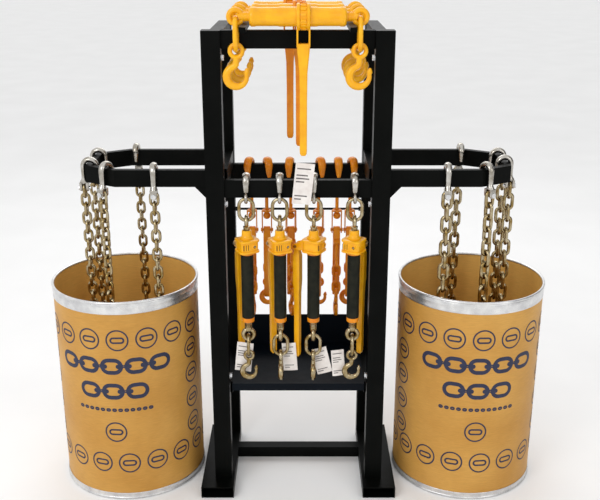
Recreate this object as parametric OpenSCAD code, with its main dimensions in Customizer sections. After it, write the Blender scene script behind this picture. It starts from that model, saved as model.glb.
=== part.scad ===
// Chain and load binder display rack: a tubular steel stand with hook arms over
// two fibre drums of chain, ratchet binders and lever binders on hanger bars.
// Millimetres, +Z up, front towards -Y, origin on the floor under the middle.

/* [Rack] */
// Height of the posts above the floor
rack_h = 1550; // [1530:1:1570]
// Half the width over the front posts
rack_half_w = 286; // [282:1:290]
// Width of a front post
front_post_w = 57; // [52:1:60]
// Depth of a front post
front_post_d = 50; // [46:1:50]
// Width of a rear post
rear_post_w = 42; // [38:1:42]
// Wall of the square tubes
tube_wall = 3; // [2:0.5:4]
// Height of the foot bars
foot_h = 40; // [34:1:44]
// Width of a foot bar
foot_w = 110; // [100:1:110]
// Thickness of the hanger bars and hook arms
bar_t = 20; // [19:0.5:20]
// Height of a hook arm
arm_h = 54; // [52:1:54]
// Height of the top of the hook arms
arm_top = 1127; // [1124:1:1130]
// Reach of a hook arm from the middle to the line of its end plate
arm_reach = 664; // [655:1:670]
// Height of the shelf floor
shelf_z = 385; // [375:1:390]

/* [Drums] */
// Outer diameter of a fibre drum
drum_d = 483; // [478:1:486]
// Height of a drum over its rims
drum_h = 722; // [700:1:735]
// Distance of a drum's axis from the middle
drum_x = 587; // [585:1:590]
// Thickness of the fibre wall
drum_wall = 4; // [3:0.5:5]

/* [Chain] */
// Wire of the chain in the left drum
left_wire = 9.5; // [9:0.5:9.5]
// Inside length of a left link
left_pitch = 31; // [31:0.1:31.2]
// Inside width of a left link
left_inside = 14; // [13.5:0.1:14.5]
// Wire of the chain in the right drum
right_wire = 11.5; // [11:0.5:11.5]
// Inside length of a right link
right_pitch = 40; // [40:0.1:40.2]
// Inside width of a right link
right_inside = 15; // [15:0.1:15.5]

/* [Binders] */
// Radius of a ratchet binder's grip sleeve
sleeve_r = 20; // [19:0.5:21]
// Radius of a ratchet binder's barrel tube
barrel_r = 17; // [16.5:0.5:17]
// Radius of the eye screws
screw_r = 11; // [10:0.5:11]
// Length of a ratchet handle
handle_len = 385; // [340:5:390]
// Radius of a large binder's barrel on top of the rack
big_barrel_r = 28; // [26:0.5:29]

/* [Hidden] */
$fn = 48;

// Paint and metal colours
black = [0.06, 0.06, 0.065];
zinc_gold = [0.72, 0.62, 0.36];
yellow = [0.95, 0.62, 0.08];
orange = [0.90, 0.42, 0.06];

// Rack layout
front_in = rack_half_w - front_post_w;
front_y0 = -175;
front_y1 = front_y0 + front_post_d;
rear_in = 220;
rear_out = rear_in + rear_post_w;
rear_y0 = 145;
rear_y1 = 188;
rail_in = 222;
foot_y0 = -235;
// Hanger bars: centre line in Y and top face in Z
front_bar_y = -155;
front_bar_top = 1098;
rear_bar_y = 135;
rear_bar_top = 1080;
bar_h = 56;
top_bar_h = 53;
cradle_x = 150;
cradle_w = 20;
cradle_t = 14;
// Hook arms
arm_y = 142;
arm_corner_x = 569;
arm_end_y = 85;
chamfer_a = atan2(arm_y - arm_end_y, arm_reach - arm_corner_x);
// Hook over a bar: inner radius, section and the drop of the arch centre
hook_in_r = 13;
hook_t = 17;
hook_w = 22;
hook_mid = hook_in_r + hook_t / 2;
arch_drop = 8;
// Clevis of a chain hook
clevis_top = 56;
clevis_gap_top = 61;
pin_drop = 79;
pin_r = 5;
ear_t = 8;
// Clearances
fit = 0.05;
run = 0.08;
play = 0.6;
link_play = 0.5;
// Chain data: wire, inside length, inside width, count of links
left_spec = [left_wire, left_pitch, left_inside, 29];
right_spec = [right_wire, right_pitch, right_inside, 22];
left_heap_top = 152;
right_heap_top = 164;
// Where each chain hook sits on its arm: x, y and turn about Z
left_seats = [
  [-arm_reach, -65, -90],
  [-arm_reach, 70, -90],
  [-arm_corner_x - 31, -arm_y + 31 * tan(chamfer_a), -chamfer_a],
  [-448, -arm_y, 0],
  [-550, arm_y, 180]
];
right_seats = [
  [465, -arm_y, 0],
  [552, arm_y, 180],
  [arm_corner_x + 19, -arm_y + 19 * tan(chamfer_a), chamfer_a],
  [arm_reach, 70, 90],
  [arm_reach, -35, 90]
];
// Ratchet binders: x, turn of the head, turn of the lower eye
ratchets = [[-161, 28, 0], [-57, 26, 90], [49, 62, 90], [176, -30, 0]];
// Oval coupling link: wire radius, bow radius and straight length
oval_wire = 5.5;
oval_bow = 22.5;
oval_straight = 24;
oval_pitch = oval_straight + 2 * oval_bow;
// Heights of a hanging ratchet binder
binder_y = -184;
hook_eye_z = 1046;
hook_eye_hole = 8.5;
swing_z = hook_eye_z - (hook_eye_hole - oval_wire) + play;
upper_eye_hole = 9;
upper_eye_z = swing_z - oval_pitch - (upper_eye_hole - oval_wire) + play;
head_z0 = 873;
head_h = 42;
barrel_top = 925;
barrel_bottom = 634;
sleeve_z0 = 648.5;
sleeve_z1 = 864;
gear_z = 894;
gear_r = 25;
pivot_y = 58;
pivot_z = 884;
lower_eye_z = 588;
lower_eye_hole = 10;
lower_link_z = lower_eye_z - (lower_eye_hole - oval_wire) + play;
grab_eye_hole = 9;
grab_eye_z = lower_link_z - oval_pitch - (grab_eye_hole - oval_wire) + play;
// Lever binders: x, side of the handle (1 rear, -1 front), links and turn
levers = [
  [-162, 1, 3, 0], [-110, -1, 2, 0], [-26, 1, 3, 12],
  [71, -1, 2, -12], [135, 1, 3, 0], [180, -1, 2, 0]
];
ball_z = 888;
ball_r = 13;
lever_pin_z = -52;
lever_len = 295;
// Large binders on top: y of the barrel and x of the handle
tops = [[-200, 16], [-60, 4], [60, -26]];
top_axis_z = rack_h + cradle_t + big_barrel_r;
top_eye_x = 180;
top_scale = 1.3;
// Bolts: position on a face and the turn about Z that points out of it
post_bolts = [
  [front_in, -150, 1470, -90], [front_in, -150, 1018, -90], [front_in, -150, 420, -90],
  [rear_in, 166, 1470, -90], [rear_in, 166, 1000, -90],
  [rear_out, 166, 1523, 90], [rear_out, 166, 1052, 90], [rear_out, 166, 365, 90]
];

// ---- helpers -------------------------------------------------------------
module block(a, b) {
  translate(a) cube(b - a);
}
module tube_x(a, b, w) {
  difference() {
    block(a, b);
    block([a.x - 1, a.y + w, a.z + w], [b.x + 1, b.y - w, b.z - w]);
  }
}
module tube_y(a, b, w) {
  difference() {
    block(a, b);
    block([a.x + w, a.y - 1, a.z + w], [b.x - w, b.y + 1, b.z - w]);
  }
}
module tube_up(a, b, w) {
  difference() {
    block(a, b);
    block([a.x + w, a.y + w, a.z - 1], [b.x - w, b.y - w, b.z - w]);
  }
}
module both_sides() {
  children();
  mirror([1, 0, 0]) children();
}
module stadium(t, w) {
  r = t / 2;
  square([t, w - t], center = true);
  translate([0, w / 2 - r]) circle(r);
  translate([0, r - w / 2]) circle(r);
}
// Upright flat bar section with its long side along X
module flat_shank(h, t = hook_t, w = hook_w) {
  linear_extrude(h) rotate(90) stadium(t, w);
}
// Ring in the XZ plane, its hole along Y
module ring(mid, r) {
  rotate([90, 0, 0]) rotate_extrude() translate([mid, 0]) circle(r);
}
module half_ring(mid, r) {
  rotate([90, 0, 0]) rotate_extrude(angle = 180) translate([mid, 0]) circle(r);
}
// Stadium link in the XZ plane
module link_shape(bow, straight, r) {
  for (t = [0, 180]) rotate([0, t, 0]) translate([0, 0, straight / 2]) half_ring(bow, r);
  for (s = [-1, 1]) {
    translate([s * bow, 0, -straight / 2]) cylinder(r = r, h = straight);
  }
}
module chain_link(spec) {
  bow = (spec[2] + spec[0]) / 2;
  link_shape(bow, spec[1] + spec[0] - 2 * bow, spec[0] / 2);
}
module oval_link() {
  link_shape(oval_bow, oval_straight, oval_wire);
}
// Grab hook in the XZ plane, origin at the centre of its eye
module grab_hook() {
  ring(14, 5);
  translate([-1, 0, -40]) cylinder(r = 7.5, h = 26);
  translate([0, 0, -57]) rotate([90, 0, 0]) rotate(100) rotate_extrude(angle = 275)
    translate([23, 0]) circle(8.8);
}

// ---- stand ---------------------------------------------------------------
module at_post_bolts() {
  both_sides() for (p = post_bolts) {
    translate([p[0], p[1], p[2]]) rotate([0, 0, p[3]]) rotate([90, 0, 0]) children();
  }
}
module posts() {
  color(black) difference() {
    both_sides() {
      tube_up([front_in, front_y0, foot_h], [rack_half_w, front_y1, rack_h], tube_wall);
      tube_up([rear_in, rear_y0, foot_h], [rear_out, rear_y1, rack_h], tube_wall);
    }
    at_post_bolts() translate([0, 0, -tube_wall - 1]) cylinder(r = 5 + fit, h = tube_wall + 2);
  }
}
module frame_bolts() {
  color("silver") at_post_bolts() {
    translate([0, 0, -tube_wall - 4]) cylinder(r = 5, h = tube_wall + 5);
    cylinder(r = 11, h = 2);
    cylinder(r = 9.5, h = 8, $fn = 6);
  }
}
module side_rails() {
  color(black) both_sides() {
    for (z = [[rack_h - 50, rack_h], [1062, 1125], [shelf_z - 40, shelf_z]]) {
      tube_y([rail_in, front_y1, z[0]], [rear_out, rear_y0, z[1]], tube_wall);
    }
  }
}
module feet() {
  color(black) both_sides() tube_y([rear_in, foot_y0, 0], [rear_in + foot_w, rear_y1, foot_h],
                                   tube_wall);
}
module cross_bars() {
  color(black) {
    tube_x([-front_in, -160, rack_h - top_bar_h], [front_in, -135, rack_h], tube_wall);
    block([-rear_in, 148, rack_h - 10], [rear_in, rear_y1, rack_h]);
    both_sides() block([cradle_x, -228, rack_h], [cradle_x + cradle_w, rear_y1, rack_h + cradle_t]);
    tube_x([-rear_in, 24, 0], [rear_in, 64, foot_h], tube_wall);
  }
  color("silver") translate([-rear_in, 181, 905]) rotate([0, 90, 0]) {
    cylinder(r = 4, h = 2 * rear_in);
    for (z = [0, 2 * rear_in - 8]) translate([0, 0, z]) cylinder(r = 8, h = 8, $fn = 6);
  }
}
module hanger_bar(half, y, top) {
  color(black) tube_x([-half, y - bar_t / 2, top - bar_h], [half, y + bar_t / 2, top], tube_wall);
}
module front_hanger_bar() {
  hanger_bar(front_in, front_bar_y, front_bar_top);
}
module rear_hanger_bar() {
  hanger_bar(rail_in, rear_bar_y, rear_bar_top);
}
// Points beside a path at distance h, with mitred corners
function unit(v) = v / norm(v);
function left_of(v) = [-v.y, v.x];
function beside(pts, h) = [
  for (i = [0 : len(pts) - 1])
    let (
      before = left_of(unit(pts[max(i, 1)] - pts[max(i, 1) - 1])),
      last = len(pts) - 2,
      after = left_of(unit(pts[min(i, last) + 1] - pts[min(i, last)]))
    )
    pts[i] + h * (before + after) / (1 + before * after)
];
function backwards(pts) = [for (i = [len(pts) - 1 : -1 : 0]) pts[i]];
// Plan of one bent arm of the given width
module arm_plan(w, start) {
  pts = [
    [rack_half_w - start, -arm_y], [arm_corner_x, -arm_y], [arm_reach, -arm_end_y],
    [arm_reach, arm_end_y], [arm_corner_x, arm_y], [rear_out - start, arm_y]
  ];
  polygon(concat(beside(pts, w / 2), backwards(beside(pts, -w / 2))));
}
module hook_arms() {
  inner = bar_t - 2 * tube_wall;
  color(black) both_sides() {
    difference() {
      translate([0, 0, arm_top - arm_h]) linear_extrude(arm_h) arm_plan(bar_t, 0);
      translate([0, 0, arm_top - arm_h + tube_wall])
        linear_extrude(arm_h - 2 * tube_wall) arm_plan(inner, 1);
    }
    translate([0, -arm_y + 3, 0]) rotate([90, 0, 0]) linear_extrude(6)
      polygon([[rack_half_w, arm_top - arm_h], [rack_half_w + 38, arm_top - arm_h],
               [rack_half_w, arm_top - arm_h - 40]]);
  }
}
module display_shelf() {
  y0 = -148;
  t = 3;
  x = rail_in;
  color([0.05, 0.07, 0.12]) {
    block([-x, y0, shelf_z - t], [x, rear_y0 - 1, shelf_z]);
    block([-rear_in, rear_y0 - 1, shelf_z - t], [rear_in, rear_y1 - 1, shelf_z]);
    block([-x, y0, shelf_z - 22], [x, y0 + t, shelf_z + 4]);
    block([-rear_in, rear_y1 - 1 - t, shelf_z - t], [rear_in, rear_y1 - 1, 500]);
  }
}

// ---- drums ---------------------------------------------------------------
module at_drums() {
  for (s = [-1, 1]) translate([s * drum_x, 0, 0]) children();
}
module drum_shells() {
  r = drum_d / 2;
  color([0.78, 0.60, 0.36]) at_drums() {
    translate([0, 0, 10]) difference() {
      cylinder(r = r, h = drum_h - 20, $fn = 96);
      translate([0, 0, -1]) cylinder(r = r - drum_wall, h = drum_h, $fn = 96);
    }
    translate([0, 0, 10]) cylinder(r = r - drum_wall, h = 6, $fn = 96);
  }
}
// Pressed steel band with a rolled bead at z = 0, reaching up along the wall
module rim(height) {
  r = drum_d / 2;
  bead = 4.8;
  rotate_extrude($fn = 96) {
    translate([r + 0.2, bead]) square([1.8, height]);
    translate([r - 1, bead]) circle(bead);
  }
}
module drum_top_rims() {
  color("silver") at_drums() translate([0, 0, drum_h]) mirror([0, 0, 1]) rim(38);
}
module drum_base_rims() {
  color("silver") at_drums() rim(18);
}
module heap(top) {
  r = drum_d / 2 - drum_wall - 1;
  edge = top - 45;
  rotate_extrude($fn = 96) {
    translate([0, 16.5]) square([r, edge - 16.5]);
    translate([0, edge - 1]) square([r - 45, top - edge + 1]);
    intersection() {
      translate([r - 45, edge]) circle(45);
      translate([r - 46, edge - 1]) square([46, 46]);
    }
  }
}
module chain_heaps() {
  color(zinc_gold) {
    translate([-drum_x, 0, 0]) heap(left_heap_top);
    translate([drum_x, 0, 0]) heap(right_heap_top);
  }
}

// ---- hooks that sit on the bars --------------------------------------------
// Local frame: bar along X, origin at the middle of its top face, shank at -Y
module bar_hook(tip, shank) {
  translate([0, 0, -arch_drop]) {
    rotate([90, 0, 90]) rotate_extrude(angle = 180) translate([hook_mid, 0])
      stadium(hook_t, hook_w);
    translate([0, hook_mid, -tip]) flat_shank(tip);
    translate([0, -hook_mid, -shank]) flat_shank(shank);
  }
}
module chain_hook(gap) {
  bar_hook(26, clevis_top - arch_drop + 2);
  half = gap / 2 + ear_t;
  translate([0, -hook_mid, 0]) difference() {
    union() {
      block([-hook_w / 2, -half, -pin_drop], [hook_w / 2, half, -clevis_top]);
      translate([0, -half, -pin_drop]) rotate([-90, 0, 0]) cylinder(r = hook_w / 2, h = 2 * half);
    }
    block([-hook_w, -gap / 2, -pin_drop - hook_w], [hook_w, gap / 2, -clevis_gap_top]);
    translate([0, -half - 1, -pin_drop]) rotate([-90, 0, 0])
      cylinder(r = pin_r + fit, h = 2 * half + 2);
  }
}
module clevis_pin(gap) {
  half = gap / 2 + ear_t;
  translate([0, -hook_mid - half, -pin_drop]) rotate([-90, 0, 0]) {
    translate([0, 0, -4.5]) cylinder(r = 8, h = 4.2);
    translate([0, 0, -1]) cylinder(r = pin_r, h = 2 * half + 6);
  }
}
module at_seat(s) {
  translate([s[0], s[1], arm_top]) rotate([0, 0, s[2]]) children();
}
left_gap = left_wire + 2.5;
right_gap = right_wire + 2;
module chain_hooks() {
  color(zinc_gold) {
    for (s = left_seats) at_seat(s) chain_hook(left_gap);
    for (s = right_seats) at_seat(s) chain_hook(right_gap);
  }
}
module clevis_pins() {
  color("silver") {
    for (s = left_seats) at_seat(s) clevis_pin(left_gap);
    for (s = right_seats) at_seat(s) clevis_pin(right_gap);
  }
}
module chain_run(seat, spec) {
  step = spec[1] - link_play;
  first = pin_r + 0.35 - spec[1] / 2;
  color(zinc_gold) at_seat(seat) translate([0, -hook_mid, -pin_drop + first]) {
    for (i = [0 : spec[3] - 1]) {
      translate([0, 0, -i * step]) rotate([0, 0, 90 * (i % 2)]) chain_link(spec);
    }
  }
}
module ratchet_binder_hooks() {
  color(zinc_gold) for (b = ratchets) translate([b[0], front_bar_y, front_bar_top]) {
    bar_hook(30, 32);
    translate([0, binder_y - front_bar_y, hook_eye_z - front_bar_top]) rotate([0, 0, 90])
      ring(hook_eye_hole + 4.75, 4.75);
  }
}
module lever_binder_hooks() {
  drop = rear_bar_top - ball_z;
  color(orange) for (b = levers) translate([b[0], rear_bar_y, rear_bar_top]) rotate([0, 0, 180]) {
    bar_hook(34, 46);
    translate([0, -hook_mid, -drop]) {
      cylinder(r = 6, h = drop - 50);
      sphere(ball_r);
    }
  }
}

// ---- ratchet binders -------------------------------------------------------
module at_ratchet(k) {
  translate([ratchets[k][0], binder_y, 0]) children();
}
module upper_screw(k) {
  color(zinc_gold) at_ratchet(k) {
    translate([0, 0, swing_z - oval_pitch / 2]) oval_link();
    translate([0, 0, upper_eye_z]) rotate([0, 0, 90]) ring(upper_eye_hole + 6, 6);
    translate([0, 0, 830]) cylinder(r = screw_r, h = upper_eye_z - 12 - 830);
  }
}
// Ratchet housing with the fork that carries the handle at +Y before its turn
module head(k) {
  ears = 16;
  slot = 10;
  color(yellow) at_ratchet(k) rotate([0, 0, ratchets[k][1]]) {
    difference() {
      translate([0, 0, head_z0]) linear_extrude(head_h) {
        circle(33);
        translate([-30, -31]) square([60, 58]);
        translate([-ears, 20]) square([2 * ears, pivot_y - 20]);
        translate([0, pivot_y - 1]) circle(10);
      }
      translate([0, 0, head_z0 - 1]) cylinder(r = barrel_r + run, h = head_h + 2);
      translate([0, 0, gear_z - 10]) cylinder(r = gear_r + 1.5, h = 20);
      block([-slot, 31, head_z0 - 1], [slot, pivot_y + 20, head_z0 + head_h + 1]);
      translate([-ears - 1, pivot_y, pivot_z]) rotate([0, 90, 0])
        cylinder(r = pin_r + fit, h = 2 * ears + 2);
      translate([13, -36, gear_z]) rotate([-90, 0, 0]) cylinder(r = 7, h = 9);
    }
    translate([13, -34, gear_z]) rotate([-90, 0, 0]) cylinder(r = 4.5, h = 7);
  }
  color("silver") at_ratchet(k) rotate([0, 0, ratchets[k][1]])
    translate([-ears - 4, pivot_y, pivot_z]) rotate([0, 90, 0])
      cylinder(r = pin_r, h = 2 * ears + 8);
}
// Folding handle: a channel that hangs behind the barrel
module ratchet_handle(k) {
  color(yellow) at_ratchet(k) rotate([0, 0, ratchets[k][1]]) translate([0, pivot_y, pivot_z])
    difference() {
      union() {
        translate([-9.6, 0, 0]) rotate([0, 90, 0]) cylinder(r = 9, h = 19.2);
        block([-9.6, -9, -30], [9.6, 9, 0]);
        block([-13, -9, -150], [13, 9, -20]);
        block([-10, -7, -handle_len + 10], [10, 7, -149]);
        translate([0, 7, -handle_len + 10]) rotate([90, 0, 0]) cylinder(r = 10, h = 14);
      }
      translate([-14, 0, 0]) rotate([0, 90, 0]) cylinder(r = pin_r + run, h = 28);
      block([-10, -6, -151], [10, 10, -34]);
      block([-7, -4, -handle_len + 12], [7, 10, -140]);
    }
}
module barrel(k) {
  color(yellow) at_ratchet(k) difference() {
    union() {
      translate([0, 0, barrel_bottom]) cylinder(r = barrel_r, h = barrel_top - barrel_bottom);
      translate([0, 0, gear_z - 8]) cylinder(r = gear_r, h = 16);
      translate([0, 0, sleeve_z1]) cylinder(r = 22, h = head_z0 - sleeve_z1 - 0.3);
      translate([0, 0, barrel_bottom]) cylinder(r = 19.5, h = sleeve_z0 - barrel_bottom);
    }
    translate([0, 0, barrel_bottom - 1])
      cylinder(r = screw_r + run, h = barrel_top - barrel_bottom + 2);
  }
  color(black) at_ratchet(k) translate([0, 0, sleeve_z0]) difference() {
    cylinder(r = sleeve_r, h = sleeve_z1 - sleeve_z0);
    translate([0, 0, -1]) cylinder(r = barrel_r, h = sleeve_z1 - sleeve_z0 + 2);
  }
}
module lower_screw(k) {
  color(zinc_gold) at_ratchet(k) {
    translate([0, 0, lower_eye_z]) rotate([0, 0, ratchets[k][2]]) ring(lower_eye_hole + 7, 7);
    translate([0, 0, lower_eye_z + 14]) cylinder(r = screw_r, h = 815 - lower_eye_z - 14);
  }
}
module lower_hook(k) {
  color(zinc_gold) at_ratchet(k) rotate([0, 0, ratchets[k][2]]) {
    translate([0, 0, lower_link_z - oval_pitch / 2]) rotate([0, 0, 90]) oval_link();
    translate([0, 0, grab_eye_z]) grab_hook();
  }
}

// ---- lever binders ---------------------------------------------------------
// Origin at the ball; the handle hangs on one side and the chain on the other
module lever_binder(k) {
  b = levers[k];
  off = 20;
  spec = left_spec;
  step = left_pitch - link_play;
  eye_z = -178;
  color(orange) translate([b[0], rear_bar_y + hook_mid, ball_z]) rotate([0, 0, b[3]])
    rotate([0, 0, b[1] > 0 ? 0 : 180]) {
      difference() {
        union() {
          block([-18, -14, 15], [18, 14, 20]);
          both_sides() block([14, -14, -60], [18, 14, 20]);
          translate([-21, 0, lever_pin_z]) rotate([0, 90, 0]) cylinder(r = 5, h = 42);
        }
        cylinder(r = 8.5, h = 30);
      }
      difference() {
        rotate([90, 0, 90]) translate([0, 0, -12]) linear_extrude(24) {
          translate([0, lever_pin_z]) circle(13);
          polygon([[-13, lever_pin_z], [13, lever_pin_z], [off, lever_pin_z - 70],
                   [off - 2, -lever_len], [off - 16, -lever_len],
                   [off - 16, lever_pin_z - 98], [-13, lever_pin_z - 60]]);
          translate([off - 9, -lever_len]) circle(7);
          translate([-off + 4, lever_pin_z - 42]) circle(13);
        }
        translate([-13, 0, lever_pin_z]) rotate([0, 90, 0]) cylinder(r = 5 + fit, h = 26);
        block([-8, -off - 30, lever_pin_z - 60], [8, -4, lever_pin_z - 28]);
      }
      translate([0, -off + 4, 0]) {
        translate([0, 0, eye_z + 13]) cylinder(r = 6, h = 87);
        translate([0, 0, eye_z]) rotate([0, 0, 90]) ring(12, 4.5);
        translate([0, 0, eye_z - 7.5 + left_wire / 2 + play - left_pitch / 2 - left_wire / 2]) {
          for (i = [0 : b[2] - 1]) translate([0, 0, -i * step]) rotate([0, 0, 90 * (i % 2)])
            chain_link(spec);
          translate([0, 0, -(b[2] - 1) * step - left_pitch / 2 - left_wire / 2
                     - (grab_eye_hole - left_wire / 2) + play])
            rotate([0, 0, b[2] % 2 == 0 ? 0 : 90]) grab_hook();
        }
      }
    }
}

// ---- large binders on top ----------------------------------------------------
module top_binder_barrels() {
  eye_hole = 11;
  wire = oval_wire * top_scale;
  link_top = -(eye_hole - wire) + play;
  link_len = oval_pitch * top_scale;
  hook_z = link_top - link_len - (grab_eye_hole * top_scale - wire) + play;
  for (b = tops) translate([0, b[0], top_axis_z]) {
    color(yellow) rotate([0, 90, 0]) translate([0, 0, -140]) cylinder(r = big_barrel_r, h = 280);
    color(orange) both_sides() {
      translate([140, 0, 0]) rotate([0, 90, 0]) cylinder(r = 14, h = top_eye_x - 140 - 13);
      translate([top_eye_x, 0, 0]) ring(eye_hole + 8, 8);
      translate([top_eye_x, 0, link_top - link_len / 2]) rotate([0, 0, 90])
        scale(top_scale) oval_link();
      translate([top_eye_x, 0, hook_z]) scale(top_scale) grab_hook();
    }
  }
}
module top_handle(k) {
  b = tops[k];
  w = 15;
  color(yellow) translate([b[1], b[0], top_axis_z]) difference() {
    union() {
      rotate([0, 90, 0]) translate([0, 0, -20]) cylinder(r = 39, h = 40);
      block([-20, -14, -80], [20, 14, -30]);
      block([-w, -10, -130], [w, 10, -70]);
      block([-11, -8, -400], [11, 8, -129]);
      translate([0, 8, -400]) rotate([90, 0, 0]) cylinder(r = 11, h = 16);
    }
    rotate([0, 90, 0]) translate([0, 0, -21]) cylinder(r = big_barrel_r + run, h = 42);
    block([-16, -15, -76], [16, 8, -44]);
    block([-8, -11, -398], [8, 5, -84]);
  }
}

posts();
side_rails();
feet();
cross_bars();
front_hanger_bar();
rear_hanger_bar();
hook_arms();
display_shelf();
frame_bolts();
drum_shells();
drum_top_rims();
drum_base_rims();
chain_heaps();
chain_hooks();
clevis_pins();
ratchet_binder_hooks();
lever_binder_hooks();
for (k = [0 : 4]) {
  chain_run(left_seats[k], left_spec);
  chain_run(right_seats[k], right_spec);
}
for (k = [0 : 3]) {
  upper_screw(k);
  head(k);
  ratchet_handle(k);
  barrel(k);
  lower_screw(k);
  lower_hook(k);
}
for (k = [0 : 5]) lever_binder(k);
top_binder_barrels();
for (k = [0 : 2]) top_handle(k);
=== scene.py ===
import math
import random
import bmesh
import bpy
from mathutils import Matrix, Vector


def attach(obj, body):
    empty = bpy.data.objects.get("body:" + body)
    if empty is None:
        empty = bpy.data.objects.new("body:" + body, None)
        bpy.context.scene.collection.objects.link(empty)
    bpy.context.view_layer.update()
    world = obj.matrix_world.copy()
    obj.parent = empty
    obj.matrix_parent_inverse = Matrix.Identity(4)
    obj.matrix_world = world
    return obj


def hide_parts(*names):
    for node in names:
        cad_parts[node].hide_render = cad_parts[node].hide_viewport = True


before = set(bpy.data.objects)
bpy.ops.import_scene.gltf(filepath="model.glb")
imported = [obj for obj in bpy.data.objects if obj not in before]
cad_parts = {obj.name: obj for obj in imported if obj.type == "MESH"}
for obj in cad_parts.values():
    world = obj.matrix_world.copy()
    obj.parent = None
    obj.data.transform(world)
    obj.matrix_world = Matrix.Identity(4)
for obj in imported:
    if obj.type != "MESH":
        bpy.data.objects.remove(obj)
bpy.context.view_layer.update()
rng = random.Random(7)
MM = 0.001
TAU = math.tau

# ---- camera -----------------------------------------------------------------
cam_data = bpy.data.cameras.new("camera")
cam_data.lens = 54.0
cam_data.sensor_width = 36.0
cam = bpy.data.objects.new("camera", cam_data)
cam.location = (0.006, -2.865, 1.80)
cam.rotation_euler = (math.radians(71.0), 0.0, 0.0)
bpy.context.scene.collection.objects.link(cam)
bpy.context.scene.camera = cam
bpy.context.scene.view_settings.view_transform = "Standard"


# ---- materials ----------------------------------------------------------------
def material(name, a, b, rough, metal, scale, bump=0.1, coat=0.0, rough_var=0.12, fine=0.0, spec=0.5):
    """Two colours mixed by noise, uneven roughness and a small surface bump."""
    m = bpy.data.materials.new(name)
    m.use_nodes = True
    n, l = m.node_tree.nodes, m.node_tree.links
    bsdf = n["Principled BSDF"]
    bsdf.inputs["Metallic"].default_value = metal
    bsdf.inputs["Specular IOR Level"].default_value = spec
    bsdf.inputs["Coat Weight"].default_value = coat
    bsdf.inputs["Coat Roughness"].default_value = 0.12
    tc = n.new("ShaderNodeTexCoord")
    noise = n.new("ShaderNodeTexNoise")
    noise.inputs["Scale"].default_value = scale
    noise.inputs["Detail"].default_value = 6.0
    l.new(tc.outputs["Object"], noise.inputs["Vector"])
    ramp = n.new("ShaderNodeValToRGB")
    ramp.color_ramp.elements[0].position = 0.35
    ramp.color_ramp.elements[0].color = (*a, 1)
    ramp.color_ramp.elements[1].position = 0.68
    ramp.color_ramp.elements[1].color = (*b, 1)
    l.new(noise.outputs["Fac"], ramp.inputs["Fac"])
    l.new(ramp.outputs["Color"], bsdf.inputs["Base Color"])
    mr = n.new("ShaderNodeMapRange")
    mr.inputs["To Min"].default_value = max(0.03, rough - rough_var)
    mr.inputs["To Max"].default_value = rough + rough_var
    small = n.new("ShaderNodeTexNoise")
    small.inputs["Scale"].default_value = fine or scale * 7
    small.inputs["Detail"].default_value = 4.0
    l.new(tc.outputs["Object"], small.inputs["Vector"])
    l.new(small.outputs["Fac"], mr.inputs["Value"])
    l.new(mr.outputs["Result"], bsdf.inputs["Roughness"])
    bp = n.new("ShaderNodeBump")
    bp.inputs["Strength"].default_value = bump
    bp.inputs["Distance"].default_value = 0.0006
    l.new(small.outputs["Fac"], bp.inputs["Height"])
    l.new(bp.outputs["Normal"], bsdf.inputs["Normal"])
    return m


M = {
    "black": material("black_paint", (0.0012, 0.0015, 0.0012),
                      (0.0028, 0.0032, 0.0028), 0.38, 0.0, 9, 0.10, 0.0, 0.12, 0, 0.06),
    "navy": material("navy_paint", (0.0015, 0.003, 0.006),
                     (0.003, 0.006, 0.010), 0.40, 0.0, 7, 0.08, 0.0, 0.12, 0, 0.09),
    "gold": material("gold_zinc", (0.27, 0.18, 0.055),
                     (0.50, 0.43, 0.29), 0.23, 1.0, 46, 0.3, 0.0, 0.09, 420),
    "silver": material("worn_zinc", (0.34, 0.31, 0.26),
                       (0.60, 0.58, 0.54), 0.22, 1.0, 40, 0.3, 0.0, 0.09, 420),
    "steel": material("bright_zinc", (0.62, 0.63, 0.65),
                      (0.78, 0.78, 0.78), 0.25, 1.0, 60, 0.12, 0.0, 0.08, 500),
    "band": material("galvanised", (0.60, 0.60, 0.61),
                     (0.80, 0.80, 0.79), 0.30, 0.9, 30, 0.2, 0.0, 0.1, 260),
    "yellow": material("yellow_paint", (0.84, 0.37, 0.002),
                       (0.91, 0.46, 0.004), 0.32, 0.0, 30, 0.15, 0.22, 0.08, 300, 0.3),
    "orange": material("orange_paint", (0.72, 0.20, 0.002),
                       (0.84, 0.30, 0.004), 0.34, 0.0, 26, 0.2, 0.2, 0.08, 280, 0.3),
    # Painted shade: dark amber laid into the ratchet head's hollows where shadow falls
    "painted_shade": material("shaded_recess", (0.16, 0.055, 0.004),
                      (0.24, 0.085, 0.006), 0.5, 0.0, 40, 0.1, 0.0, 0.1, 300, 0.3),
    "rubber": material("rubber_grip", (0.007, 0.008, 0.005),
                       (0.017, 0.017, 0.010), 0.55, 0.0, 40, 0.35, 0.0, 0.1, 900, 0.14),
    "print": material("navy_print", (0.010, 0.014, 0.045),
                      (0.018, 0.024, 0.065), 0.55, 0.0, 60, 0.05, 0.0, 0.08, 400),
    "paper": material("paper_tag", (0.72, 0.66, 0.62),
                      (0.84, 0.80, 0.76), 0.75, 0.0, 40, 0.1, 0.0, 0.1, 300),
    "ink": material("tag_ink", (0.10, 0.09, 0.09),
                    (0.20, 0.18, 0.17), 0.7, 0.0, 90, 0.05, 0.0, 0.1, 300),
}


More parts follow.
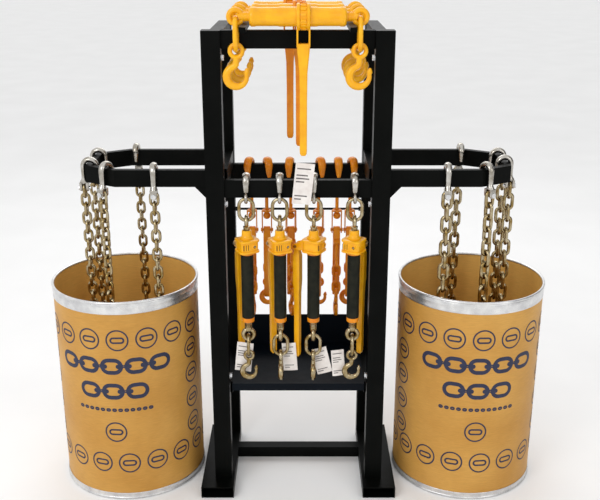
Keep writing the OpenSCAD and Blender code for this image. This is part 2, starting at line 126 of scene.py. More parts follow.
def kraft(name, a, b):
    """Waxed fibreboard: stretched fibres, faint hoops and a soft sheen."""
    m = material(name, a, b, 0.45, 0.0, 5, 0.25, 0.04, 0.08, 160, 0.2)
    n, l = m.node_tree.nodes, m.node_tree.links
    bsdf = n["Principled BSDF"]
    ramp = bsdf.inputs["Base Color"].links[0].from_node
    tc = next(x for x in n if x.type == "TEX_COORD")
    mp = n.new("ShaderNodeMapping")
    mp.inputs["Scale"].default_value = (40, 40, 700)
    l.new(tc.outputs["Object"], mp.inputs["Vector"])
    fibre = n.new("ShaderNodeTexNoise")
    fibre.inputs["Scale"].default_value = 1.0
    fibre.inputs["Detail"].default_value = 5.0
    l.new(mp.outputs["Vector"], fibre.inputs["Vector"])
    mix = n.new("ShaderNodeMix")
    mix.data_type = "RGBA"
    mix.blend_type = "MULTIPLY"
    mix.inputs["Factor"].default_value = 0.35
    l.new(ramp.outputs["Color"], mix.inputs["A"])
    l.new(fibre.outputs["Fac"], mix.inputs["B"])
    l.new(mix.outputs["Result"], bsdf.inputs["Base Color"])
    return m


M["kraft"] = kraft("fibreboard", (0.62, 0.31, 0.062), (0.74, 0.40, 0.094))
# Painted light: a lighter copy of the fibreboard for the drums' inside wall, brightening an interior that
# would sit in shade
M["lit_liner"] = kraft("fibreboard_inside_painted_light", (0.84, 0.46, 0.11), (0.94, 0.56, 0.15))


# ---- mesh building ---------------------------------------------------------------
class Build:
    """Collects vertices and faces in millimetres, then makes one object in metres."""

    def __init__(self):
        self.v, self.f, self.m = [], [], Matrix.Identity(4)

    def add(self, verts, faces):
        k = len(self.v)
        self.v += [self.m @ Vector(p) for p in verts]
        self.f += [tuple(k + i for i in f) for f in faces]

    def sweep(self, path, radii, normal, seg=14, closed=False):
        """A planar path with elliptical sections: radii are (in the plane, along the normal)."""
        path = [Vector(p) for p in path]
        nrm = Vector(normal).normalized()
        n = len(path)
        verts, faces = [], []
        for i, p in enumerate(path):
            if closed:
                t = path[(i + 1) % n] - path[i - 1]
            else:
                t = path[min(i + 1, n - 1)] - path[max(i - 1, 0)]
            side = t.normalized().cross(nrm).normalized()
            a, b = radii[i] if isinstance(radii, list) else radii
            for j in range(seg):
                w = TAU * j / seg
                verts.append(p + side * (a * math.cos(w)) + nrm * (b * math.sin(w)))
        for i in range(n if closed else n - 1):
            k = (i + 1) % n
            for j in range(seg):
                q = (j + 1) % seg
                faces.append((i * seg + j, i * seg + q, k * seg + q, k * seg + j))
        if not closed:
            faces.append(tuple(range(seg))[::-1])
            faces.append(tuple((n - 1) * seg + j for j in range(seg)))
        self.add(verts, faces)

    def lathe(self, profile, seg=40, closed=True):
        """Turns (r, z) points about Z. A closed profile is a loop, an open one ends on the axis."""
        n = len(profile)
        verts, faces = [], []
        for r, z in profile:
            for j in range(seg):
                w = TAU * j / seg
                verts.append((r * math.cos(w), r * math.sin(w), z))
        for i in range(n if closed else n - 1):
            k = (i + 1) % n
            for j in range(seg):
                q = (j + 1) % seg
                faces.append((i * seg + j, i * seg + q, k * seg + q, k * seg + j))
        if not closed:
            faces.append(tuple(range(seg))[::-1])
            faces.append(tuple((n - 1) * seg + j for j in range(seg)))
        self.add(verts, faces)

    def prism(self, outline, z0, z1, bevel=1.0):
        """An outline in XY raised from z0 to z1, with softened edges top and bottom."""
        n = len(outline)
        cx = sum(p[0] for p in outline) / n
        cy = sum(p[1] for p in outline) / n
        verts, faces = [], []

        def ring(z, inset):
            for x, y in outline:
                d = math.hypot(x - cx, y - cy) or 1
                s = (d - inset) / d
                verts.append((cx + (x - cx) * s, cy + (y - cy) * s, z))

        ring(z0, bevel)
        ring(z0 + bevel * 0.3, bevel * 0.3)
        ring(z0 + bevel, 0)
        ring(z1 - bevel, 0)
        ring(z1 - bevel * 0.3, bevel * 0.3)
        ring(z1, bevel)
        for i in range(5):
            for j in range(n):
                q = (j + 1) % n
                faces.append((i * n + j, i * n + q, (i + 1) * n + q, (i + 1) * n + j))
        faces.append(tuple(range(n))[::-1])
        faces.append(tuple(5 * n + j for j in range(n)))
        self.add(verts, faces)

    def link(self, bow, straight, r, seg=12, arc=10):
        """Stadium link in the XZ plane with a slight weld swell on one side."""
        path = []
        for i in range(arc + 1):
            w = math.pi * i / arc
            path.append((bow * math.cos(w), 0, straight / 2 + bow * math.sin(w)))
        path.append((-bow, 0, 0))
        for i in range(arc + 1):
            w = math.pi + math.pi * i / arc
            path.append((bow * math.cos(w), 0, -straight / 2 + bow * math.sin(w)))
        path.append((bow, 0, 0))
        radii = [(r, r)] * len(path)
        radii[-1] = (r * 1.07, r * 1.07)
        self.sweep(path, radii, (0, 1, 0), seg, True)

    def ring(self, mid, r, squash=1.0, seg=12, n=28):
        """Eye in the XZ plane."""
        path = [(mid * math.cos(TAU * i / n), 0, mid * math.sin(TAU * i / n)) for i in range(n)]
        self.sweep(path, (r, r * squash), (0, 1, 0), seg, True)

    def make(self, name, mat, body, replaces=(), smooth=45, slot=None):
        """The collected mesh as one piece that rides on a body."""
        me = bpy.data.meshes.new(name)
        me.from_pydata([p * MM for p in self.v], [], self.f)
        me.validate()
        me.update()
        ob = bpy.data.objects.new(name, me)
        bpy.context.scene.collection.objects.link(ob)
        ob.data.materials.append(M[mat])
        me.shade_smooth()
        me.set_sharp_from_angle(angle=math.radians(smooth))
        bm_fix(ob)
        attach(ob, body)
        if replaces:
            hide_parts(*replaces)
        return ob


def bm_fix(ob):
    """Turns every face outwards."""
    bm = bmesh.new()
    bm.from_mesh(ob.data)
    bmesh.ops.recalc_face_normals(bm, faces=bm.faces)
    bm.to_mesh(ob.data)
    bm.free()


def T(x, y, z):
    return Matrix.Translation((x, y, z))


def R(deg, axis):
    return Matrix.Rotation(math.radians(deg), 4, axis)


def circle2d(r, n=32):
    return [(r * math.cos(TAU * i / n), r * math.sin(TAU * i / n)) for i in range(n)]


def arc2d(cx, cy, r, degrees):
    """Points round (cx, cy) at the listed angles."""
    turns = [math.radians(w) for w in degrees]
    return [(cx + r * math.cos(w), cy + r * math.sin(w)) for w in turns]


def rounded(x0, y0, x1, y1, r, n=5):
    pts = []
    corners = ((x1 - r, y1 - r, 0), (x0 + r, y1 - r, 90),
               (x0 + r, y0 + r, 180), (x1 - r, y0 + r, 270))
    for cx, cy, a in corners:
        for i in range(n + 1):
            w = math.radians(a + 90 * i / n)
            pts.append((cx + r * math.cos(w), cy + r * math.sin(w)))
    return pts


def keep(nodes, mat, width=0.0012):
    """Shows CAD nodes as they are, with a paint or plating and softened edges."""
    for name in nodes:
        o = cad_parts[name]
        o.data.materials.clear()
        o.data.materials.append(M[mat])
        o.data.shade_smooth()
        o.data.set_sharp_from_angle(angle=math.radians(35))
        if width:
            b = o.modifiers.new("edge", "BEVEL")
            b.width = width
            b.segments = 2
            b.limit_method = "ANGLE"
            b.angle_limit = math.radians(50)
            b.harden_normals = True


# ---- shared shapes -----------------------------------------------------------------
# Radius from the middle of a bar to the middle of a hook's wire
HOOK_MID = 21.5
# Lays an outline in the YZ plane, raised along X
YZ = Matrix(((0, 0, 1, 0), (1, 0, 0, 0), (0, 1, 0, 0), (0, 0, 0, 1)))


def bar_hook(b, shank, tip=30, fat=1.0):
    """Forged hook over a bar: thin curled tip behind, thick crown, round shank in front."""
    path, rad = [], []
    for i in range(7):
        u = i / 6
        path.append((0, HOOK_MID + 3.0 * (1 - u) ** 2, -8 - tip * (1 - u)))
        rad.append((3.2 + 4.8 * u ** 0.7, (4.2 + 5.6 * u ** 0.7) * fat))
    for i in range(1, 17):
        w = math.pi * i / 16
        crown = math.sin(w)
        path.append((0, HOOK_MID * math.cos(w), -8 + HOOK_MID * math.sin(w) + 0.6 * crown))
        rad.append((8.2 + 0.3 * crown, (9.8 + 1.2 * crown) * fat))
    for i in range(1, 6):
        u = i / 5
        path.append((0, -HOOK_MID, -8 - shank * u))
        rad.append((8.2 - 1.2 * u, 9.8 * fat - (1.6 + 9.8 * (fat - 1)) * u))
    b.sweep(path, rad, (1, 0, 0), 18)


def grab_hook(b, s=1.0, flip=1):
    """Grab hook in the XZ plane, eye centre at the origin."""
    keep_m = b.m.copy()
    b.m = b.m @ Matrix.Diagonal((s * flip, s, s, 1))
    b.ring(14, 5.2, 1.15, 14, 30)
    path, rad = [], []
    for u in (0, 0.5, 1):
        path.append((-1.5 * u, 0, -15 - 15 * u))
        rad.append((7.0 + 0.8 * u, 6.6 + 0.8 * u))
    for i in range(19):
        w = math.radians(106 + (372 - 106) * i / 18)
        u = i / 18
        r = 23 - 0.8 * math.sin(math.pi * u)
        path.append((r * math.cos(w), 0, -57 + r * math.sin(w)))
        fat = math.sin(math.pi * min(1, u * 1.15 + 0.05))
        rad.append((7.4 + 2.6 * max(0, fat) - 2.2 * u ** 3, 7.4 + 1.8 * max(0, fat) - 1.6 * u ** 3))
    for i in range(1, 5):
        u = i / 4
        path.append((22.6 + 1.4 * u, 0, -51 + 13 * u))
        rad.append((7.2 - 3.6 * u * u - 1.0 * u, 7.2 - 2.2 * u * u - 1.4 * u))
    b.sweep(path, rad, (0, 1, 0), 16)
    b.m = keep_m


def chain(b, pitch, wire, inside, count, step, jitter=2.0):
    bow = (inside + wire) / 2
    straight = pitch + wire - 2 * bow
    base = b.m.copy()
    for i in range(count):
        b.m = base @ T(0, 0, -i * step) @ R(90 * (i % 2) + rng.uniform(-jitter, jitter) * (i > 0), "Z")
        b.link(bow, straight, wire / 2)
    b.m = base


# ---- stand --------------------------------------------------------------------------
keep(["posts", "side_rails", "feet", "cross_bars", "front_hanger_bar", "rear_hanger_bar", "hook_arms"],
     "black")
keep(["display_shelf"], "navy", 0.0008)
keep(["frame_bolts", "clevis_pins"], "steel", 0.0006)

# ---- chains and their hooks ------------------------------------------------------------
CH = math.degrees(math.atan2(57, 95))
TN = math.tan(math.radians(CH))
LEFT = [(-664, -65, -90), (-664, 70, -90), (-600, -142 + 31 * TN, -CH), (-448, -142, 0), (-550, 142, 180)]
RIGHT = [(465, -142, 0), (552, 142, 180), (588, -142 + 19 * TN, CH), (664, 70, 90), (664, -35, 90)]
hooks = Build()
for seats, gap, side in ((LEFT, 12.0, "left"), (RIGHT, 13.5, "right")):
    for k, (x, y, a) in enumerate(seats):
        base = T(x, y, 1127) @ R(a, "Z")
        hooks.m = base
        bar_hook(hooks, 44)
        half = gap / 2 + 8
        hooks.m = base @ T(0, -HOOK_MID, 0)
        neck = [(0, 0, -44), (0, 0, -50), (0, 0, -56), (0, 0, -60.8)]
        hooks.sweep(neck, [(7.5, 8.6), (8.5, 9.5), (half - 1.5, 11), (half, 11)], (1, 0, 0), 18)
        ear = [(-11, -60)] + arc2d(0, -79, 11, range(180, 361, 15)) + [(11, -60)]
        for s in (-1, 1):
            y0, y1 = (gap / 2, half) if s > 0 else (-half, -gap / 2)
            hooks.m = base @ T(0, -HOOK_MID, 0) @ R(90, "X")
            hooks.prism([(px, pz) for px, pz in ear], -y1, -y0, 1.2)
        body = f"{side}_chain_{k + 1}"
        c = Build()
        pitch, wire, inside, count = (31, 9.5, 14, 29) if side == "left" else (40, 11.5, 15, 22)
        c.m = base @ T(0, -HOOK_MID, -79 + 5.35 - pitch / 2)
        chain(c, pitch, wire, inside, count, pitch - 0.5)
        c.make(body + "_links", "gold", body, [body], slot="gold_zinc")
hooks.make("clevis_grab_hooks", "silver", "stand", ["chain_hooks"], slot="gold_zinc")

# ---- drums ----------------------------------------------------------------------------
DRUM_X = 587
for sx, side in ((-1, "left"), (1, "right")):
    d = Build()
    d.m = T(DRUM_X * sx, 0, 0)
    ro, ri = 241.5, 237.5
    d.lathe([(ro, 11), (ro, 200), (ro, 400), (ro, 600), (ro, 711), (ri, 711), (ri, 500),
             (ri, 200), (ri, 17), (ri - 2, 15.8), (60, 15.2), (0.5, 15), (0.5, 10.5),
             (100, 10.5), (ri, 10.5)], 128)
    d.make(f"{side}_drum_shell", "kraft", "stand", ["drum_shells"], 30, "fibreboard")
    # Painted light: a thin sheet just inside the wall carries the lighter fibreboard, so the drum's inside
    # reads brighter than its shade
    lit_liner = Build()
    lit_liner.m = T(DRUM_X * sx, 0, 0)
    lit_liner.lathe([(237.4, 18), (237.4, 300), (237.4, 712), (237.2, 719),
                 (236.8, 712), (236.8, 300), (236.8, 18)], 128)
    lit_liner.make(f"{side}_drum_liner", "lit_liner", "stand", (), 30, "fibreboard")
    rim = Build()
    rim.m = T(DRUM_X * sx, 0, 0)
    for z, s, h in ((722, -1, 38), (0, 1, 19)):
        prof = []
        for i in range(15):
            w = math.radians(-80 + 330 * i / 14)
            prof.append((240.5 + 4.7 * math.cos(w), z + s * (4.8 + 4.7 * math.sin(w) * -1)))
        wall = [(241.8, z + s * (h + 4)), (242.6, z + s * (h + 4.6)), (243.3, z + s * (h + 3.6)),
                (242.9, z + s * (h - 1)), (242.9, z + s * (h * 0.62)), (243.5, z + s * (h * 0.55)),
                (243.5, z + s * (h * 0.45)), (242.8, z + s * (h * 0.38)), (243.2, z + s * 9.8)]
        rim.lathe(prof, 128, True)
        rim.lathe(wall + [(241.8, z + s * 8)], 128, True)
    rim.make(f"{side}_drum_bands", "band", "stand", ["drum_top_rims", "drum_base_rims"],
             50, "galvanised_band")

    heap = Build()
    wire, bow, straight = (9.5, 11.75, 17) if sx < 0 else (11.5, 13.25, 25)
    top = 152 if sx < 0 else 164
    for i in range(330):
        r = 205 * math.sqrt(rng.random())
        w = rng.uniform(0, TAU)
        z = top - 14 - 30 * (r / 215) ** 3 - rng.uniform(0, 26)
        heap.m = (T(DRUM_X * sx + r * math.cos(w), r * math.sin(w), z) @ R(rng.uniform(0, 360), "Z")
                  @ R(rng.uniform(35, 145), "X") @ R(rng.uniform(-60, 60), "Y"))
        heap.link(bow, straight, wire / 2, 8, 7)
    heap.make(f"{side}_chain_heap", "gold", "stand", ["chain_heaps"], slot="gold_zinc")


# Printed decoration: rings and a chain-link band, laid just off the wall
def decal_strip(b, outline_a, outline_b, r, cx, u0, z0):
    """Fills between two outlines of (u, v) points wrapped round the drum."""
    verts, faces = [], []
    for line in (outline_a, outline_b):
        for u, v in line:
            w = (u0 + u) / r
            verts.append((cx + r * math.sin(w), -r * math.cos(w), z0 + v))
    n = len(outline_a)
    for i in range(n):
        q = (i + 1) % n
        faces.append((i, q, n + q, n + i))
    b.add(verts, faces)


def stadium2d(hw, hh, n=10):
    """Stadium outline, half width hw and half height hh, long side along u."""
    pts = []
    for i in range(n + 1):
        w = -math.pi / 2 + math.pi * i / n
        pts.append((hw - hh + hh * math.cos(w), hh * math.sin(w)))
    for i in range(n + 1):
        w = math.pi / 2 + math.pi * i / n
        pts.append((-hw + hh + hh * math.cos(w), hh * math.sin(w)))
    return pts


for sx, side in ((-1, "left"), (1, "right")):
    b = Build()
    cx, r = DRUM_X * sx, 241.9
    around = TAU * r

    def ring_mark(u, z):
        decal_strip(b, circle2d(37, 44), circle2d(32, 44), r, cx, u, z)
        decal_strip(b, stadium2d(24, 11.5), stadium2d(18, 5.5), r, cx, u, z)

    n = 16
    for i in range(n):
        u = around * i / n + 8
        ring_mark(u, 590)
        ring_mark(u + 14, 140)
    for k in range(2):
        mid = around * (k / 2) - (16 if sx < 0 else 0)
        for z, count in ((498, 9), (408, 5)):
            for i in range(count):
                u = mid + (i - (count - 1) / 2) * 40
                if i % 2 == 0:
                    decal_strip(b, stadium2d(38, 29), stadium2d(25, 15), r, cx, u, z)
                else:
                    decal_strip(b, stadium2d(26, 8), stadium2d(12, 0.5), r + 0.1, cx, u, z)
        for i in range(13):
            decal_strip(b, stadium2d(8, 6.5), stadium2d(3.5, 0.5), r, cx, mid + (i - 6) * 20, 340)
        ring_mark(mid, 258)
        for du in (-300, 300):
            for z in (497, 404, 311, 218):
                ring_mark(mid + du, z + (4 if du > 0 else -8))
    b.make(f"{side}_drum_print", "print", "stand")

# ---- ratchet binders ---------------------------------------------------------------------
# across, turn of the head, turn of the lower eye
RAT = [(-161, 28, 0), (-57, 26, 90), (49, 62, 90), (176, -30, 0)]
SWING, UP_EYE, LOW_EYE = 1043.6, 971.7, 588.0
LOW_LINK = 584.1
GRAB = LOW_LINK - 69 - 3.5 + 0.6
top_hooks = Build()
for k, (x, yaw, turn) in enumerate(RAT):
    n = f"ratchet_{k + 1}"
    top_hooks.m = T(x, -155, 1098)
    bar_hook(top_hooks, 26, 30, 1.12)
    top_hooks.m = T(x, -184, 1046) @ R(90, "Z")
    top_hooks.ring(13.25, 4.9, 1.1)
    top_hooks.m = Matrix.Identity(4)
    neck = [(x, -176.5, 1066), (x, -178, 1061), (x, -181, 1056)]
    top_hooks.sweep(neck, [(6.5, 7), (5.5, 6.5), (4.5, 5)], (1, 0, 0), 14)
    at = T(x, -184, 0)

    b = Build()
    b.m = at @ T(0, 0, SWING - 34.5)
    b.link(22.5, 24, 5.4, 14, 14)
    b.make(n + "_upper_link", "gold", n + "_upper_screw", [n + "_upper_screw"], slot="gold_zinc")
    b = Build()
    b.m = at @ T(0, 0, UP_EYE) @ R(90, "Z")
    b.ring(15, 6.0, 1.0, 14, 30)
    b.m = at
    prof = [(11, 955), (10.5, 950), (9, 945)]
    for i in range(22):
        z = 944 - i * 5.2
        prof += [(11, z), (11, z - 1.6), (9.7, z - 2.8), (9.7, z - 3.8)]
    prof += [(9.7, 830), (0.2, 829)]
    b.lathe([(0.2, 958)] + prof, 28, False)
    b.make(n + "_upper_eye_screw", "gold", n + "_upper_screw", slot="gold_zinc")

    # Ratchet head: flanged housing, windows, knob and a fork for the handle
    b = Build()
    hd = at @ R(yaw, "Z")
    b.m = hd
    body_o = rounded(-29, -30, 29, 28, 12)
    b.prism(body_o, 879, 909, 0.8)
    flange = rounded(-33, -33, 33, 30, 14)
    b.prism(flange, 908, 915, 1.6)
    b.prism(flange, 873, 880, 1.6)
    for s in (-1, 1):
        xs = (10.4, 16) if s > 0 else (-16, -10.4)
        pts = [(20, 874), (50, 874)]
        pts += arc2d(58, 884, 10.5, range(-90, 91, 20))
        pts += [(44, 900), (30, 914), (20, 914)]
        b.m = hd @ YZ
        b.prism(pts, xs[0], xs[1], 0.9)
    b.m = hd
    for wx in (-20, -12.5, -5):
        b.m = hd @ T(wx, -30.2, 894) @ R(90, "X")
        b.prism(rounded(-2.4, -10, 2.4, 10, 1.6), -1, 1.6, 0.6)
    b.m = hd @ T(13, -29.5, 894) @ R(90, "X")
    b.lathe([(8.6, -1), (8.6, 2.6), (7.6, 3.6), (5.4, 3.6), (4.8, 2.6), (4.8, -0.5)], 26)
    b.m = at
    b.lathe([(17.4, 914), (22, 915), (22, 919), (17, 923), (15.5, 930), (15.5, 940),
             (14.5, 942.5), (12, 943), (11.3, 942), (11.3, 912)], 36)
    b.make(n + "_housing", "yellow", n + "_head", [n + "_head"], 40, "yellow_paint")
    b = Build()
    b.m = hd @ T(13, -29.5, 894) @ R(90, "X")
    b.lathe([(0.2, -0.5), (3.4, -0.5), (3.4, 1.2), (2.6, 2.2), (0.2, 2.4)], 20, False)
    b.m = hd @ T(0, 58, 884) @ R(90, "Y")
    b.lathe([(0.2, -20.5), (4.4, -20), (5, -19), (5, 19), (4.4, 20), (0.2, 20.5)], 22, False)
    b.make(n + "_pins", "gold", n + "_head", slot="bright_zinc")
    # Painted shade: dark strips between the window ribs and a dark disc round the knob's pin stand in for
    # the shadow in these hollows
    b = Build()
    for wx in (-23.8, -16.2, -8.8):
        b.m = hd @ T(wx, -30, 894) @ R(90, "X")
        b.prism(rounded(-1.5, -9, 1.5, 9, 1.2), -1, 0.6, 0.3)
    b.m = hd @ T(13, -29.5, 894) @ R(90, "X")
    b.lathe([(0.2, 0.9), (5.6, 0.9), (5.6, -0.4), (0.2, -0.4)], 24, False)
    b.make(n + "_recess_shadows", "painted_shade", n + "_head", slot="yellow_paint")

    # Handle: pressed channel that hangs behind the barrel
    b = Build()
    hm = hd @ T(0, 58, 884)
    b.m = hm
    secs = [(9.0, 9.4), (9.4, 9.4), (13, 12), (13, 12), (10.5, 10),
            (9.6, 9.4), (9.4, 9.0), (8.2, 8.0), (5.2, 5.6)]
    zs = [7, -20, -34, -118, -160, -250, -372, -382, -387]
    verts, faces = [], []
    for z, (hx, hy) in zip(zs, secs):
        deep = 0.72 if -380 < z < -30 else 0.1
        floor_y = hy * 0.4 - hy * deep
        ring_pts = [(-hx, -hy * 0.8), (-hx * 0.86, -hy), (hx * 0.86, -hy), (hx, -hy * 0.8),
                    (hx, hy * 0.8), (hx * 0.8, hy * 0.84), (hx * 0.72, floor_y),
                    (-hx * 0.72, floor_y), (-hx * 0.8, hy * 0.84), (-hx, hy * 0.8)]
        verts += [(px, py, z) for px, py in ring_pts]
    for i in range(len(zs) - 1):
        for j in range(10):
            q = (j + 1) % 10
            faces.append((i * 10 + j, i * 10 + q, (i + 1) * 10 + q, (i + 1) * 10 + j))
    faces.append(tuple(range(10))[::-1])
    faces.append(tuple(80 + j for j in range(10)))
    b.add(verts, faces)
    ob = b.make(n + "_lever", "yellow", n + "_handle", [n + "_handle"], 30, "yellow_paint")
    bev = ob.modifiers.new("edge", "BEVEL")
    bev.width, bev.segments, bev.angle_limit = 0.0008, 2, math.radians(35)

    # Barrel, grip sleeve and collars
    b = Build()
    b.m = at
    prof = [(15, 648.6), (18.6, 648.6), (19.8, 649.6), (20.0, 652), (19.9, 700), (19.7, 756), (19.9, 812),
            (20.0, 860), (19.6, 863), (18.6, 864), (15, 864)]
    b.lathe(prof, 44)
    b.make(n + "_grip", "rubber", n + "_barrel", [n + "_barrel"], 60, "rubber_grip")
    b = Build()
    b.m = at
    b.lathe([(17, 864.2), (21.4, 864.2), (22, 865), (22, 871.6), (21, 872.6), (17, 872.6)], 40)
    b.lathe([(12.0, 634.2), (18.6, 634.2), (19.5, 635.4), (19.5, 646.8), (18.6, 648.3),
             (12.0, 648.3), (11.2, 647), (11.2, 636)], 40)
    b.make(n + "_collars", "orange", n + "_barrel", slot="orange_paint")

    # Lower screw with its eye, link and grab hook
    b = Build()
    b.m = at @ T(0, 0, LOW_EYE) @ R(turn, "Z")
    b.ring(17, 7.0, 1.0, 16, 32)
    b.m = at
    prof = [(0.2, 596), (8.5, 599), (10.4, 603), (11, 607), (11, 612)]
    for i in range(38):
        z = 613 + i * 5.2
        prof += [(11, z), (11, z + 1.6), (9.7, z + 2.8), (9.7, z + 3.8)]
    prof += [(9.7, 812), (0.2, 814)]
    b.lathe(prof, 28, False)
    b.make(n + "_lower_eye_screw", "gold", n + "_lower_screw", [n + "_lower_screw"], slot="gold_zinc")
    b = Build()
    b.m = at @ T(0, 0, LOW_LINK - 34.5) @ R(turn + 90, "Z")
    b.link(22.5, 24, 5.4, 14, 14)
    b.m = at @ R(turn, "Z") @ T(0, 0, GRAB)
    grab_hook(b)
    b.make(n + "_grab_hook", "gold", n + "_lower_hook", [n + "_lower_hook"], slot="gold_zinc")
top_hooks.make("binder_bar_hooks", "silver", "stand", ["ratchet_binder_hooks"], slot="gold_zinc")

# ---- lever binders ------------------------------------------------------------------------
# across, side of the lever, chain links, turn of the binder, turn of its bar hook
LEV = [(-162, 1, 3, 0, -14), (-110, -1, 2, 0, 14), (-26, 1, 3, 12, -8),
       (71, -1, 2, -12, 14), (135, 1, 3, 0, 4), (180, -1, 2, 0, 14)]
REAR_Y = 156.5
YOKE_Z = 888
lev_hooks = Build()
for k, (x, side, links, yaw, turn) in enumerate(LEV):
    n = f"lever_binder_{k + 1}"
    lev_hooks.m = T(x, REAR_Y, 1080) @ R(180 + turn, "Z") @ T(0, HOOK_MID, 0)
    bar_hook(lev_hooks, 44, 36, 1.3)
    lev_hooks.m = T(x, REAR_Y, 0)
    shank = [(0.2, 1034), (6.8, 1033), (7.2, 1024), (6.4, 1010), (6.0, 960), (6.0, 905), (6.4, 901)]
    ball = arc2d(0, YOKE_Z, 13, range(60, -81, -20))
    lev_hooks.lathe(shank + ball + [(0.2, 875)], 28, False)
    at = T(x, REAR_Y, YOKE_Z) @ R(yaw + (0 if side > 0 else 180), "Z")
    b = Build()
    b.m = at
    b.lathe([(8.6, 15), (15, 15), (18, 16.4), (18.4, 19), (15.5, 21.6), (10, 22.4), (8.6, 21)], 30)
    cheek = [(-9, 19)] + arc2d(0, -52, 12.5, range(190, 351, 20)) + [(9, 19)]
    for xs in ((14.2, 18), (-18, -14.2)):
        b.m = at @ YZ
        b.prism(cheek, xs[0], xs[1], 0.9)
    b.m = at @ T(0, 0, -52) @ R(90, "Y")
    b.lathe([(0.2, -22), (5.6, -21.6), (6.6, -20), (6.6, -18.2), (5, -18), (5, 18),
             (6.6, 18.2), (6.6, 20), (5.6, 21.6), (0.2, 22)], 22, False)
    b.make(n + "_yoke", "orange", n, [n], slot="orange_paint")
    b = Build()
    lever = [(13, -52), (20, -122), (18.4, -288), (16, -298), (11, -302), (6, -298), (4, -291),
             (4, -150), (-13, -112), (-13, -52), (-9, -43), (0, -39.2), (9, -43)]
    b.m = at @ YZ
    b.prism(lever[::-1], -12, 12, 3.0)
    b.m = at @ YZ
    b.prism([(p[0] * 0.62 + 4, p[1] * 0.9 - 10) for p in lever[::-1]], -12.6, 12.6, 1.2)
    b.m = at @ T(0, -16, -94) @ R(90, "Y")
    b.lathe([(0.2, -13), (11.5, -12.4), (13, -10.5), (13, -8.4), (8, -8.2), (8, 8.2),
             (13, 8.4), (13, 10.5), (11.5, 12.4), (0.2, 13)], 26, False)
    b.m = at @ T(0, -16, 0)
    b.sweep([(0, 0, z) for z in (-86, -100, -135, -158, -164)],
            [(6.6, 6.6), (6.2, 6.2), (5.6, 5.6), (5.8, 5.8), (6.6, 5)], (1, 0, 0), 16)
    b.m = at @ T(0, -16, -178) @ R(90, "Z")
    b.ring(12, 4.6, 1.1, 12, 26)
    b.make(n + "_lever", "orange", n, slot="orange_paint")
    b = Build()
    b.m = at @ T(0, -16, -178 - 7.5 + 0.6 - 15.5)
    chain(b, 31, 9.5, 14, links, 30.5, 0)
    eye = -178 - 7.5 + 0.6 - 15.5 - (links - 1) * 30.5 - 15.5 - 4.75 - 4.25 + 0.6
    b.m = at @ T(0, -16, eye) @ R(0 if links % 2 == 0 else 90, "Z")
    grab_hook(b, 1.0, -1)
    b.make(n + "_hook", "orange", n, slot="orange_paint")
lev_hooks.make("lever_bar_hooks", "orange", "stand", ["lever_binder_hooks"], slot="orange_paint")

# ---- large binders over the top -----------------------------------------------------------------
TOPS = [(-200, 16), (-60, 4), (60, -26)]
AX = 1592
tb = Build()
for k, (y, hx) in enumerate(TOPS):
    tb.m = T(0, y, AX) @ R(90, "Y")
    tb.lathe([(0.2, -140), (22, -140), (26, -138), (28, -134), (28, -124), (26.6, -120),
              (26.6, -60), (28, -52), (28, 52), (26.6, 60), (26.6, 120), (28, 124), (28, 134),
              (26, 138), (22, 140), (0.2, 140)], 44, False)
    for s in (-1, 1):
        tb.m = T(0, y, AX) @ R(90 * s, "Y")
        prof = [(14, 138)]
        for i in range(4):
            z = 141 + i * 5.5
            prof += [(14, z), (14, z + 1.8), (12.6, z + 3.2), (12.6, z + 4.4)]
        tb.lathe([(0.2, 138)] + prof + [(13.5, 163), (13, 170), (0.2, 171)], 30, False)
        tb.m = T(180 * s, y, AX)
        tb.ring(19, 8.2, 1.15, 16, 34)
        wire = 5.5 * 1.3
        link_top = -(11 - wire) + 0.6
        length = 69 * 1.3
        tb.m = T(180 * s, y, AX + link_top - length / 2) @ R(90, "Z") @ Matrix.Diagonal((1.3, 1.3, 1.3, 1))
        tb.link(22.5, 24, 5.5, 14, 14)
        tb.m = T(180 * s, y, AX + link_top - length - (9 * 1.3 - wire) + 0.6)
        grab_hook(tb, 1.3, 1)
    n = f"top_handle_{k + 1}"
    b = Build()
    base = T(hx, y, AX)
    b.m = base @ R(90, "Y")
    b.lathe([(28.2, -20), (36, -20), (38.4, -18), (39, -15), (39, -11), (35, -9), (35, 9),
             (39, 11), (39, 15), (38.4, 18), (36, 20), (28.2, 20)], 44)
    for i in range(14):
        b.m = base @ R(TAU / 14 * i * 57.29578, "X") @ T(0, 0, 34.4)
        b.prism(rounded(-8.6, -3.4, 8.6, 3.4, 1.2), 0, 3.6, 0.8)
    b.m = base
    for s in (-1, 1):
        b.m = base @ YZ
        cheek = [(-14, -26), (-14, -80), (-10, -86), (10, -86), (14, -80), (14, -26)]
        b.prism(cheek, 15 if s > 0 else -20, 20 if s > 0 else -15, 1.0)
    secs = [(19.5, 13), (18, 12), (15, 10), (12, 9), (11, 8), (11, 8), (10, 7.5), (6, 5)]
    zs = [-76, -100, -128, -160, -240, -392, -402, -408]
    verts, faces = [], []
    for z, (ax, ay) in zip(zs, secs):
        ring_pts = [(-ax, -ay * 0.75), (-ax * 0.82, -ay), (ax * 0.82, -ay), (ax, -ay * 0.75),
                    (ax, ay * 0.75), (ax * 0.82, ay), (-ax * 0.82, ay), (-ax, ay * 0.75)]
        verts += [(px, py, z) for px, py in ring_pts]
    for i in range(len(zs) - 1):
        for j in range(8):
            q = (j + 1) % 8
            faces.append((i * 8 + j, i * 8 + q, (i + 1) * 8 + q, (i + 1) * 8 + j))
    faces.append(tuple(range(8))[::-1])
    faces.append(tuple(56 + j for j in range(8)))
    b.m = base
    b.add(verts, faces)
    ob = b.make(n + "_lever", "yellow" if k == 0 else "orange", n, [n], 30)
    bev = ob.modifiers.new("edge", "BEVEL")
    bev.width, bev.segments, bev.angle_limit = 0.0008, 2, math.radians(35)
tb.make("top_binders", "yellow", "stand", ["top_binder_barrels"], slot="orange_paint")
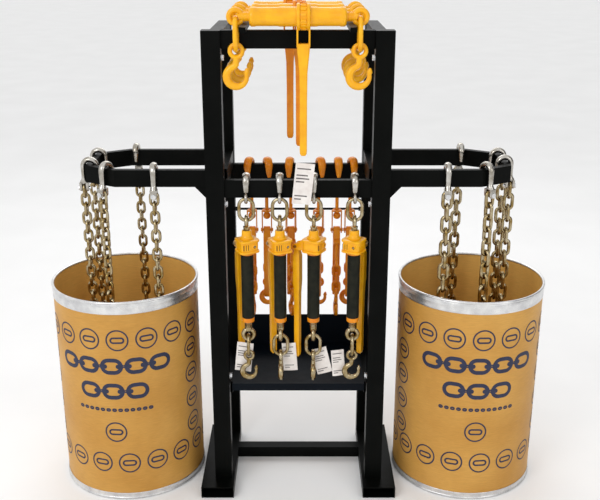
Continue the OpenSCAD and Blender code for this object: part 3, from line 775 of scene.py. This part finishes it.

# ---- paper tags riding on the hooks and the handle they hang from ----------------------------------
# body, centre, width, height, tilt
TAGS = [("ratchet_1_lower_hook", -178, -171, 500, 54, 104, 6),
        ("ratchet_2_lower_hook", -28, -170, 500, 46, 100, -4),
        ("ratchet_3_lower_hook", 78, -170, 486, 50, 92, -14),
        ("ratchet_4_lower_hook", 132, -171, 478, 42, 92, -4),
        ("top_handle_1", 16, -216, 1100, 58, 128, 6)]
# half length and height of each ink stroke, as parts of the tag
INK = ((0.36, 0.36), (0.30, 0.20), (0.34, 0.12), (0.22, 0.04), (0.33, -0.30), (0.18, -0.38))


def curl(u, v, i):
    """How far the paper stands off its plane at (u, v), different on each tag."""
    return 2.2 * math.sin(3 * u + i) + 1.6 * math.sin(4 * v + i)


for i, (body, x, y, z, w, h, tilt) in enumerate(TAGS):
    b = Build()
    base = T(x, y, z) @ R(tilt, "Y") @ R(90, "X")
    b.m = base
    cols, rows = 6, 10
    verts, faces = [], []
    for s in (0, 1):
        for a in range(cols + 1):
            for c in range(rows + 1):
                u, v = a / cols - 0.5, c / rows - 0.5
                verts.append((u * w, v * h, curl(u, v, i) + 0.5 * s))
    n1 = (cols + 1) * (rows + 1)
    for a in range(cols):
        for c in range(rows):
            p = a * (rows + 1) + c
            q = p + rows + 1
            faces.append((p, q, q + 1, p + 1))
            faces.append((n1 + p, n1 + p + 1, n1 + q + 1, n1 + q))
    b.add(verts, faces)
    b.make(f"tag_{i + 1}", "paper", body)
    b = Build()
    b.m = base
    for half, v in INK:
        verts, faces = [], []
        for a in range(9):
            u = -0.40 + 2 * half * a / 8
            for dv in (-0.016, 0.016):
                verts.append((u * w, (v + dv) * h, curl(u, v + dv, i) + 0.75))
        faces = [(2 * a, 2 * a + 2, 2 * a + 3, 2 * a + 1) for a in range(8)]
        b.add(verts, faces)
    b.make(f"tag_{i + 1}_lines", "ink", body)

# ---- floor, light, world ------------------------------------------------------------------------------
floor_me = bpy.data.meshes.new("floor")
floor_me.from_pydata([(-40, -40, 0), (40, -40, 0), (40, 60, 0), (-40, 60, 0)], [], [(0, 1, 2, 3)])
floor = bpy.data.objects.new("floor", floor_me)
floor.location = (0, 0, -0.0005)
bpy.context.scene.collection.objects.link(floor)
pale = material("pale_floor", (0.90, 0.90, 0.90), (0.93, 0.93, 0.93), 0.7, 0.0, 2, 0.02)
floor.data.materials.append(pale)


def area(name, loc, target, w, h, power):
    d = bpy.data.lights.new(name, "AREA")
    d.shape = "RECTANGLE"
    d.size, d.size_y, d.energy = w, h, power
    o = bpy.data.objects.new(name, d)
    o.location = loc
    o.rotation_euler = (Vector(target) - Vector(loc)).to_track_quat("-Z", "Y").to_euler()
    bpy.context.scene.collection.objects.link(o)


area("key", (-2.2, -3.2, 3.2), (0, 0, 0.8), 1.6, 1.6, 45)
area("fill", (2.8, -2.6, 2.0), (0, 0, 0.8), 1.6, 1.6, 16)
area("back", (0.0, 3.0, 3.4), (0, 0, 0.9), 3.0, 1.2, 30)
world = bpy.data.worlds.new("studio")
world.use_nodes = True
wn, wl = world.node_tree.nodes, world.node_tree.links
wn["Background"].inputs["Color"].default_value = (1.0, 1.0, 1.0, 1)
coords = wn.new("ShaderNodeTexCoord")
split = wn.new("ShaderNodeSeparateXYZ")
# The right-hand side of the room is darker, which shades the drums and the plating
shade = wn.new("ShaderNodeMapRange")
shade.interpolation_type = "SMOOTHSTEP"
shade.inputs["From Min"].default_value = 0.42
shade.inputs["From Max"].default_value = 0.85
shade.inputs["To Min"].default_value = 0.98
shade.inputs["To Max"].default_value = 0.22
wl.new(coords.outputs["Generated"], split.inputs["Vector"])
wl.new(split.outputs["X"], shade.inputs["Value"])
wl.new(shade.outputs["Result"], wn["Background"].inputs["Strength"])
bpy.context.scene.world = world
